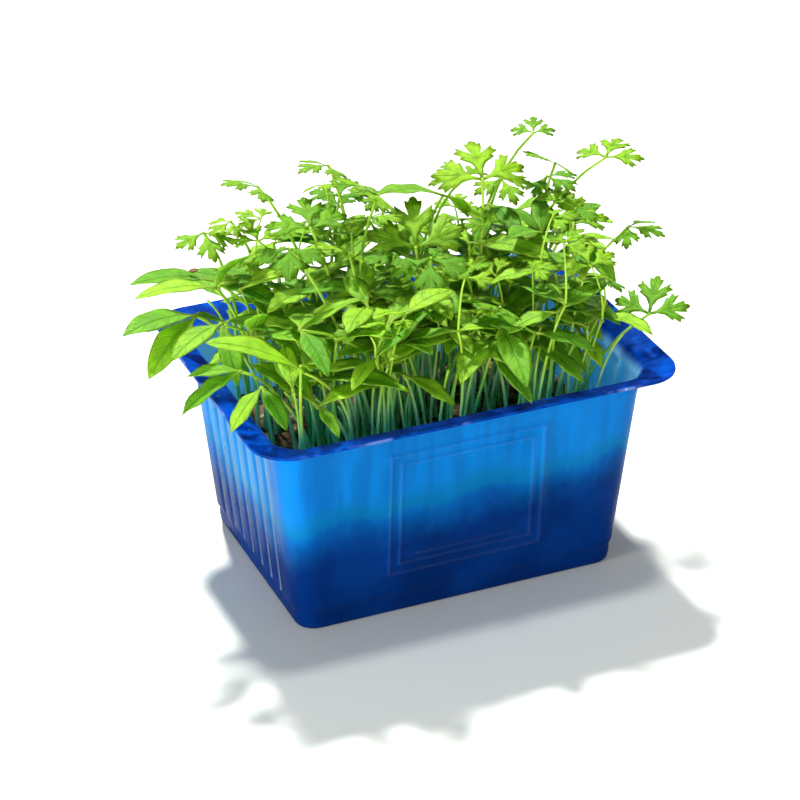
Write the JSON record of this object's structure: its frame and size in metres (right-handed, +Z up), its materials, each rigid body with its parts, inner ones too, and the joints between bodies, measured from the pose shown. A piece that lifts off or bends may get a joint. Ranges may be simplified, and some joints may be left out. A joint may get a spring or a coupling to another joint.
{
  "type": "microgreens tray",
  "caption": "Flared rectangular plastic tray with a wide rim and fluted short sides, filled with growing substrate and dense leafy sprouts on thin upright stems.",
  "frame": {"origin": "centre of the flat underside of the tray's foot", "axes": "+Z up out of the tray, +X along the tray's long side, -Y towards the long side seen from the front"},
  "size_m": [0.188, 0.1073, 0.1302],
  "materials": {
    "tray_blue": "gloss",
    "substrate": "matte",
    "sprout_green": "satin"
  },
  "bodies": {
    "root": {"tray": "tray_blue", "substrate": "substrate", "sprouts_01": "sprout_green", "sprouts_02": "sprout_green", "sprouts_03": "sprout_green", "sprouts_04": "sprout_green", "sprouts_05": "sprout_green", "sprouts_06": "sprout_green", "sprouts_07": "sprout_green", "sprouts_08": "sprout_green", "sprouts_09": "sprout_green", "sprouts_10": "sprout_green", "sprouts_11": "sprout_green", "sprouts_12": "sprout_green", "sprouts_13": "sprout_green", "sprouts_14": "sprout_green", "sprouts_15": "sprout_green", "sprouts_16": "sprout_green", "sprouts_17": "sprout_green", "sprouts_18": "sprout_green", "sprouts_19": "sprout_green", "sprouts_20": "sprout_green", "sprouts_21": "sprout_green", "sprouts_22": "sprout_green", "sprouts_23": "sprout_green", "sprouts_24": "sprout_green", "sprouts_25": "sprout_green", "sprouts_26": "sprout_green", "sprouts_27": "sprout_green", "sprouts_28": "sprout_green", "sprouts_29": "sprout_green", "sprouts_30": "sprout_green", "sprouts_31": "sprout_green", "sprouts_32": "sprout_green", "sprouts_33": "sprout_green", "sprouts_34": "sprout_green", "sprouts_35": "sprout_green", "sprouts_36": "sprout_green", "sprouts_37": "sprout_green", "sprouts_38": "sprout_green", "sprouts_39": "sprout_green", "sprouts_40": "sprout_green"}
  },
  "joints": []
}
